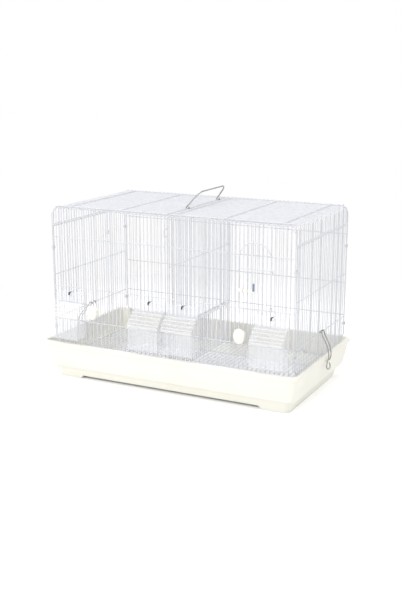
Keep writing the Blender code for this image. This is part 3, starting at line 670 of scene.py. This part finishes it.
wires = []
for y in spaced(divider_front, divider_back, side_gaps)[1:-1]:
    wires.append(wire_z(divider_plane, y, divider_bottom, divider_top, wire))
edge = divider_plane + crossing / 2
for y in (divider_front, divider_back):
    wires.append(wire_z(edge, y, divider_bottom, divider_top, edge_wire))
for x, z, thickness in (
    (divider_plane, divider_bottom, edge_wire),
    (divider_plane, divider_top, edge_wire),
    (divider_plane + crossing, divider_cross, wire),
):
    wires.append(([(x, divider_front, z), (x, divider_back, z)], thickness))
reach = divider_front - pull_reach
points = [
    (edge, divider_front, pull_low),
    (edge, reach, pull_low),
    (edge, reach, pull_high),
    (edge, divider_front, pull_high),
]
wires.append((bent(points, pull_bend), rail_wire))
add_wires("sliding_screen", "centre_divider", wires, "centre_divider")

# Front panels: two coated wire walls with a slot between them for the sliding screen. Strong header
# wires frame the feeder openings and the door opening, and three long wires run across outside.
front_outer, half_slot, front_gaps = 0.2876, 0.005, 28
feeder_columns = ((0, 7), (20, 27))
feeder_heights = (0.142, 0.182)
door_columns, door_heights = (16, 23), (0.217, 0.328)
front_y = middle_y - half_depth

for side, hand in (("left", -1), ("right", 1)):
    columns = spaced(hand * half_slot, hand * front_outer, front_gaps)
    wires = []
    for i in range(front_gaps):
        cuts = [feeder_heights for first, last in feeder_columns if first < i < last]
        if side == "right" and door_columns[0] < i < door_columns[1]:
            cuts.append(door_heights)
        starts = [foot_height] + [high for low, high in cuts]
        ends = [low for low, high in cuts] + [band_height]
        thickness = edge_wire if i == 0 else wire
        wires += upright(columns[i], -1, list(zip(starts, ends)), thickness)
    last = columns[-2]
    wires.append(corner_upright(columns[-1], last, -1))
    wires.append(wire_x(columns[0], last, front_y, foot_height, edge_wire))
    wires.append(wire_x(columns[0], last, front_y + band_depth, band_end_height, edge_wire))
    for z in rail_heights:
        wires.append(wire_x(columns[0], columns[-1], front_y - crossing, z, rail_wire))
    headers = [(pair, feeder_heights) for pair in feeder_columns]
    if side == "right":
        headers.append((door_columns, door_heights))
    for (first, end), heights in headers:
        for z in heights:
            wires.append(wire_x(columns[first], columns[end], front_y, z, header_wire))
    add_wires(side + "_front", "cage_body", wires, side + "_front_panel")

# Door: an arched hoop of strong coated wire over six thin uprights and a cross bar. Two small
# staples carry the bolt, and two coated clips on the wall's own wire are its hinges.
door_reach = 0.1607
door_y = middle_y - door_reach
door_left, door_right = 0.16799, 0.23904
door_bottom, door_spring = 0.217, 0.31948
door_bar, door_bar_wire, door_bend = 0.300, 0.0016, 0.003
door_gaps, arch_steps = 7, 24
door_middle = (door_left + door_right) / 2
door_radius = (door_right - door_left) / 2
bolt_height = 0.256
staple_columns = (1, 2)
staple_half, staple_reach, staple_wire, staple_bend = 0.0042, 0.0048, 0.0014, 0.0012

foot = (door_middle, door_y, door_bottom)
left_leg = [(door_left, door_y, door_bottom), (door_left, door_y, door_spring)]
right_leg = [(door_right, door_y, door_spring), (door_right, door_y, door_bottom)]
points = bent([foot, *left_leg], door_bend)
for step in range(1, arch_steps):
    turn = math.pi * step / arch_steps
    x = door_middle - door_radius * math.cos(turn)
    points.append((x, door_y, door_spring + door_radius * math.sin(turn)))
points += bent([*right_leg, foot], door_bend)
wires = [(points, edge_wire)]
for i, x in enumerate(spaced(door_left, door_right, door_gaps)[1:-1], 1):
    rise = math.sqrt(door_radius**2 - (x - door_middle) ** 2)
    wires.append(wire_z(x, door_y, door_bottom, door_spring + rise, wire))
    if i in staple_columns:
        reach = door_y - staple_reach
        low, high = bolt_height - staple_half, bolt_height + staple_half
        points = [(x, door_y, low), (x, reach, low), (x, reach, high), (x, door_y, high)]
        wires.append((bent(points, staple_bend, 3), staple_wire))
wires.append(wire_x(door_left, door_right, door_y, door_bar, door_bar_wire))
add_wires("arched_door", "right_door", wires, "right_door")

# Bolt: a flat ivory tongue that slides in the staples, with an upright blue-grey thumb piece on
# it. Both are small mouldings with rounded edges.
bolt_round, thumb_round = 0.0006, 0.0016
thumb_light, thumb_deep = (0.26, 0.32, 0.44, 1), (0.20, 0.25, 0.36, 1)
thumb_share = (0.62, 1.0, 1.0)


def drawn_in(mesh, share):
    """Scales a piece's mesh about its own middle."""
    corners = [vert.co for vert in mesh.vertices]
    centre = Vector([(min(axis) + max(axis)) / 2 for axis in zip(*corners)])
    shape = Matrix.Translation(centre) @ Matrix.Diagonal((*share, 1))
    mesh.transform(shape @ Matrix.Translation(-centre))


blue_grey = skin_material(
    "moulded_blue_grey", thumb_light, thumb_deep,
    patch=6.0, grain_size=0.3, smoothest=0.32, roughest=0.50, depth=0.00004,
)
bolt_mesh = rounded_copy("bolt", "right_door_bolt", bolt_round, 3)
add_piece("door_bolt", bolt_mesh, "right_door_bolt", ivory, "ivory_plastic", "right_door_bolt")
thumb_mesh = rounded_copy("thumb_piece", "right_bolt_knob", thumb_round, 4)
drawn_in(thumb_mesh, thumb_share)
add_piece(
    "thumb_piece", thumb_mesh, "right_door_bolt", blue_grey, "grey_plastic", "right_bolt_knob"
)

# Clips: folded strips closed round two wires and coated with the cage. Eight tie the corners of the
# walls together, and two more hold the door's outer leg to the wall as its hinges.
clip_round, clip_fold = 0.0003, 70
clip_corners = ("left_front", "left_back", "right_front", "right_back")

for level in ("lower", "upper"):
    clips = {corner: f"{corner}_{level}_corner_clip" for corner in clip_corners}
    clips["door"] = f"right_{level}_hinge_clip"
    for where, node in clips.items():
        clip_mesh = rounded_copy(node, node, clip_round, keep_smooth=clip_fold)
        add_piece(f"{where}_{level}_clip", clip_mesh, "cage_body", shaded_thin_coat, "white_wire", node)

# Feeders: thin hooded cups of nearly clear, milky plastic, hung on the header wires outside the
# openings. The slope of each hood is moulded in four thick ridges above a thick lip, drawn in a
# whiter, less clear plastic: a painted highlight for the bright edges of the clear cup. The side
# towards the cage is open.
feeder_wall, feeder_round = 0.0011, 0.0003
feeder_half = 0.03653
feeder_middles = {"inner": 0.040325, "outer": 0.242183}
ring_height = 0.142
mouth_low, mouth_high = 0.0034, 0.038
hood_top, hood_foot = (0.0135, 0.0440), (0.0385, 0.0182)
ridge_count, ridge_rise = 4, 0.0011
ridge_profile = ((0.10, 0), (0.34, 1), (0.66, 1), (0.90, 0))
ridge_top_share = 0.8
cup_back, cup_floor, plate_top = 0.0035, -0.036, 0.067
lip_reach, lip_low, lip_high = 0.0400, 0.0130, 0.0165
clear_of_edge = 0.0003

milky_skins = []
# Painted highlight: the ridges and lip are whiter and less clear than the walls.
for name, light, deep, veils in (
    ("milky_wall", (0.95, 0.955, 0.985, 1), (0.92, 0.928, 0.965, 1), (0.16, 0.24)),
    ("milky_ridge_painted_highlight", (0.97, 0.97, 0.96, 1), (0.95, 0.95, 0.94, 1), (0.34, 0.46)),
):
    milky = skin_material(
        name, light, deep,
        patch=22.0, grain_size=0.8, smoothest=0.12, roughest=0.24, depth=0.00003,
    )
    tree = milky.node_tree
    veil = ramp(tree, tree.nodes["skin"].outputs["Height"], 0, 1, *veils)
    tree.links.new(veil, tree.nodes["Principled BSDF"].inputs["Alpha"])
    milky_skins.append(milky)

slope = Vector(hood_foot) - Vector(hood_top)
proud = Vector((-slope.y, slope.x)).normalized() * ridge_rise
ridges = []
for i in range(ridge_count):
    for share, rise in ridge_profile:
        ridges.append(Vector(hood_top) + slope * (i + share) / ridge_count + proud * rise)
plate = [(cup_back, plate_top), (0.0055, plate_top), (0.0112, 0.045)]
lip = [(lip_reach, lip_high), (lip_reach, lip_low)]
cup = [(0.0388, 0.012), (0.0380, cup_floor), (cup_back, cup_floor)]
mouth = [(cup_back, mouth_low), (cup_back, mouth_high)]
outline = [*plate, hood_top, *ridges, hood_foot, *lip, *cup, *mouth]


def feeder_face(face):
    """Tells whether a face of a feeder is its open mouth, a thick part with the painted highlight,
    or plain wall.
    """
    if len(face.verts) != 4:
        return "plain"
    centre = face.calc_center_median()
    reach, rise = front_y - centre.y, centre.z - ring_height
    at_mouth = abs(rise - (mouth_low + mouth_high) / 2) < clear_of_edge
    if at_mouth and reach < cup_back + clear_of_edge:
        return "mouth"
    above_slope = (Vector((reach, rise)) - Vector(hood_top)).dot(proud) / ridge_rise
    on_ridge = lip_low < rise < hood_top[1] and above_slope > ridge_top_share * ridge_rise
    on_lip = lip_low < rise < hood_foot[1] - clear_of_edge
    return "thick" if on_ridge or on_lip else "plain"


for side, hand in (("left", -1), ("right", 1)):
    for where, offset in feeder_middles.items():
        node = f"{side}_{where}_feeder"
        start = hand * offset - feeder_half
        bm = bmesh.new()
        ring = [bm.verts.new((start, front_y - out, ring_height + rise)) for out, rise in outline]
        end = bmesh.ops.extrude_face_region(bm, geom=[bm.faces.new(ring)], use_keep_orig=True)
        moved = [v for v in end["geom"] if isinstance(v, bmesh.types.BMVert)]
        bmesh.ops.translate(bm, verts=moved, vec=(2 * feeder_half, 0, 0))
        kinds = {face: feeder_face(face) for face in bm.faces}
        for face, kind in kinds.items():
            face.material_index = int(kind == "thick")
        open_faces = [face for face, kind in kinds.items() if kind == "mouth"]
        bmesh.ops.delete(bm, geom=open_faces, context="FACES_ONLY")
        bmesh.ops.recalc_face_normals(bm, faces=bm.faces)
        mesh = bpy.data.meshes.new(node)
        bm.to_mesh(mesh)
        bm.free()
        name = f"{side}_{where}_cup"
        feeder = add_piece(name, mesh, node, milky_skins[0], "lilac_plastic", node)
        mesh.materials.append(milky_skins[1])
        shell = feeder.modifiers.new("wall", "SOLIDIFY")
        shell.thickness = feeder_wall
        shell.offset = -1
        shell.use_even_offset = True
        round_edges(feeder, feeder_round, 50)

# Feeder catches: short black mouldings that hook over the top of each cup and grip the wall.
catch_light, catch_deep = (0.045, 0.045, 0.050, 1), (0.020, 0.020, 0.024, 1)
catch_share, catch_round = (0.70, 1.0, 0.62), 0.0004

black = skin_material(
    "moulded_black", catch_light, catch_deep,
    patch=3.0, grain_size=0.3, smoothest=0.35, roughest=0.55, depth=0.00004,
)
for side in ("left", "right"):
    for where in ("inner", "outer"):
        body = f"{side}_{where}_feeder"
        node = body + "_hook"
        catch_mesh = rounded_copy(node, node, catch_round)
        drawn_in(catch_mesh, catch_share)
        add_piece(f"{side}_{where}_catch", catch_mesh, body, black, "black_plastic", node)

# Front rods: one straight coated wire beside the door and its twin at the left, tied to the long
# wires, each with a small pale grey cap of soft plastic pressed on its top.
rod_place, rod_reach, rod_wire = 0.14125, 0.16075, 0.0025
rod_y = middle_y - rod_reach
rod_bottom, rod_top = 0.214, 0.345
cap_radius, cap_top, cap_gap = 0.0032, 0.3543, 0.0003
cap_mouth_share, cap_mouth_depth, cap_straight_share, cap_steps = 0.9, 0.0004, 0.7, 5
cap_light, cap_deep = (0.72, 0.74, 0.78, 1), (0.62, 0.64, 0.69, 1)

cap_grey = skin_material(
    "moulded_pale_grey", cap_light, cap_deep,
    patch=4.0, grain_size=0.3, smoothest=0.30, roughest=0.48, depth=0.00003,
)


def turned(profile, centre, axis, steps=24):
    """A piece turned on a lathe; profile holds (distance along the axis, radius) pairs."""
    bm = bmesh.new()
    centre, axis, side = Vector(centre), Vector(axis), Vector((1, 0, 0))
    verts = [bm.verts.new(centre + axis * along + side * radius) for along, radius in profile]
    edges = [bm.edges.new(pair) for pair in zip(verts, verts[1:])]
    bmesh.ops.spin(
        bm, geom=verts + edges, cent=centre, axis=axis, angle=math.tau, steps=steps, use_merge=True
    )
    bmesh.ops.remove_doubles(bm, verts=bm.verts, dist=same_place)
    bmesh.ops.recalc_face_normals(bm, faces=bm.faces)
    return bm


for side, hand in (("left", -1), ("right", 1)):
    x = hand * rod_place
    rod = [wire_z(x, rod_y, rod_bottom, rod_top, rod_wire)]
    add_wires(side + "_rod", "cage_body", rod, side + "_front_rod", roundness=4)
    foot = rod_top + cap_gap
    straight = (cap_top - foot) * cap_straight_share
    dome = cap_top - foot - straight
    profile = [(0, 0), (0, cap_radius * cap_mouth_share), (cap_mouth_depth, cap_radius)]
    for step in range(cap_steps + 1):
        turn = math.pi / 2 * step / cap_steps
        profile.append((straight + dome * math.sin(turn), cap_radius * math.cos(turn)))
    cap_mesh = smooth_mesh("rod_cap", turned(profile, (x, rod_y, foot), (0, 0, 1)))
    add_piece(side + "_cap", cap_mesh, "cage_body", cap_grey, "grey_plastic", side + "_rod_cap")

# Oval knobs: egg-shaped ivory buttons that stand out in front of the wall on a short stem, with a
# small flange behind. Each is one moulding, turned round and then drawn in to its narrow width.
oval_place, oval_heights = 0.17658, {"left": 0.1705, "right": 0.1630}
# The knob from its flange to its face: how far out from the wall, and the radius there.
oval_profile = (
    (0.0012, 0.0),
    (0.0012, 0.0070),
    (0.0016, 0.0075),
    (0.0029, 0.0075),
    (0.0034, 0.0068),
    (0.0040, 0.0042),
    (0.0060, 0.0036),
    (0.0180, 0.0036),
    (0.0190, 0.0066),
    (0.0196, 0.0120),
    (0.0204, 0.0150),
    (0.0218, 0.0163),
    (0.0232, 0.0155),
    (0.0244, 0.0130),
    (0.0254, 0.0087),
    (0.0259, 0.0043),
    (0.0260, 0.0),
)
oval_share = 0.80

for side, hand in (("left", -1), ("right", 1)):
    centre = Vector((hand * oval_place, front_y, oval_heights[side]))
    bm = turned(oval_profile, centre, (0, -1, 0), 32)
    bmesh.ops.scale(bm, verts=bm.verts, vec=(oval_share, 1, 1), space=Matrix.Translation(-centre))
    oval_mesh = smooth_mesh("oval_knob", bm, 60)
    add_piece(side + "_oval", oval_mesh, "cage_body", ivory, "ivory_plastic", side + "_oval_clip")

# Carrying handle: one bail of bare drawn steel wire with round corners. Each end is curled into an
# eye round one of the roof's cross wires, so the handle leans over when it is let go.
handle_lean = math.radians(39)
handle_x, handle_z = -0.008, 0.3942
handle_near, handle_far = middle_y - 0.04527, middle_y + 0.10563
handle_rise, handle_corner, handle_splay = 0.042, 0.024, 0.004
handle_eye, handle_wire = 0.0035, 0.003
eye_turn, eye_steps, corner_steps = math.radians(270), 20, 12
steel_light, steel_deep = (0.46, 0.46, 0.45, 1), (0.30, 0.30, 0.29, 1)

steel = skin_material(
    "drawn_steel", steel_light, steel_deep,
    patch=5.0, grain_size=0.4, smoothest=0.22, roughest=0.38, depth=0.00002, metal=1.0,
)
half = []
for step in range(eye_steps, -1, -1):
    turn = -eye_turn * step / eye_steps
    half.append((handle_near, -handle_eye * math.cos(turn), handle_eye * math.sin(turn)))
for step in range(corner_steps + 1):
    turn = math.pi / 2 * step / corner_steps
    y = handle_near + handle_splay + handle_corner * (1 - math.cos(turn))
    half.append((y, -handle_eye, handle_rise - handle_corner * (1 - math.sin(turn))))
half += [(handle_near + handle_far - y, out, up) for y, out, up in reversed(half)]
across, along = math.cos(handle_lean), math.sin(handle_lean)
points = []
for y, out, up in half:
    x = handle_x + out * across + up * along
    points.append((x, y, handle_z - out * along + up * across))
add_wires(
    "bail_handle", "carry_handle", [(points, handle_wire)], "carry_handle",
    material=steel, slot="bright_steel", roundness=4,
)

# Hasps: a springy loop of bright steel wire at each end. It hooks over a long wire of the side
# wall, bows out over the tray's rim and clips round a lug there. The left one bows further out, as
# the rim is broader at that end.
hasp_x, hasp_z, hasp_wires = 0.2902, 0.141, {"left": 0.0020, "right": 0.0026}
hasp_half, hasp_spread, hasp_steps = 0.00704, 0.040, 4
# The hasp's leg from its hook down to its clip: how far out, up and to the side each place lies.
hasp_outline = (
    (-0.0029, -0.0024, hasp_half),
    (-0.0029, 0.0008, hasp_half),
    (-0.0012, 0.0028, hasp_half),
    (0.0012, 0.0028, hasp_half),
    (0.0029, 0.0008, hasp_half),
    (0.0052, -0.0062, hasp_half),
    (0.0105, -0.0162, hasp_half),
    (0.0158, -0.0272, hasp_half),
    (0.0191, -0.0380, hasp_half),
    (0.0203, -0.0475, hasp_half),
    (0.0197, -0.0545, 0.00684),
    (0.0176, -0.0600, 0.00583),
    (0.0166, -0.0640, 0.00402),
    (0.0168, -0.0680, hasp_half),
    (0.0174, -0.0725, 0.01026),
    (0.0182, -0.0765, 0.00946),
    (0.0186, -0.0792, 0.00553),
)


def smooth_route(points, steps):
    """The points of a wire that runs through these places in one smooth curve."""
    path = []
    befores, afters = points[:1] + points, points[2:] + points[-1:]
    for before, start, end, after in zip(befores, points, points[1:], afters):
        for step in range(steps):
            t = step / steps
            curved = 2 * start + (end - before) * t
            curved += (2 * before - 5 * start + 4 * end - after) * t**2
            curved += (3 * start - before - 3 * end + after) * t**3
            path.append(curved / 2)
    return path + points[-1:]


for side, hand in (("left", -1), ("right", 1)):
    reach = tray_left_reach if side == "left" else 0.0
    leg = []
    for out, up, y in hasp_outline:
        over = reach * min(1.0, max(0.0, -up / hasp_spread))
        leg.append((hand * (hasp_x + out + over), y, hasp_z + up))
    points = [Vector((x, middle_y - y, z)) for x, y, z in leg]
    points += [Vector((x, middle_y + y, z)) for x, y, z in reversed(leg)]
    path = smooth_route(points, hasp_steps)
    add_wires(
        side + "_clasp", side + "_hasp", [(path, hasp_wires[side])], side + "_hasp",
        material=steel, slot="bright_steel", roundness=4,
    )
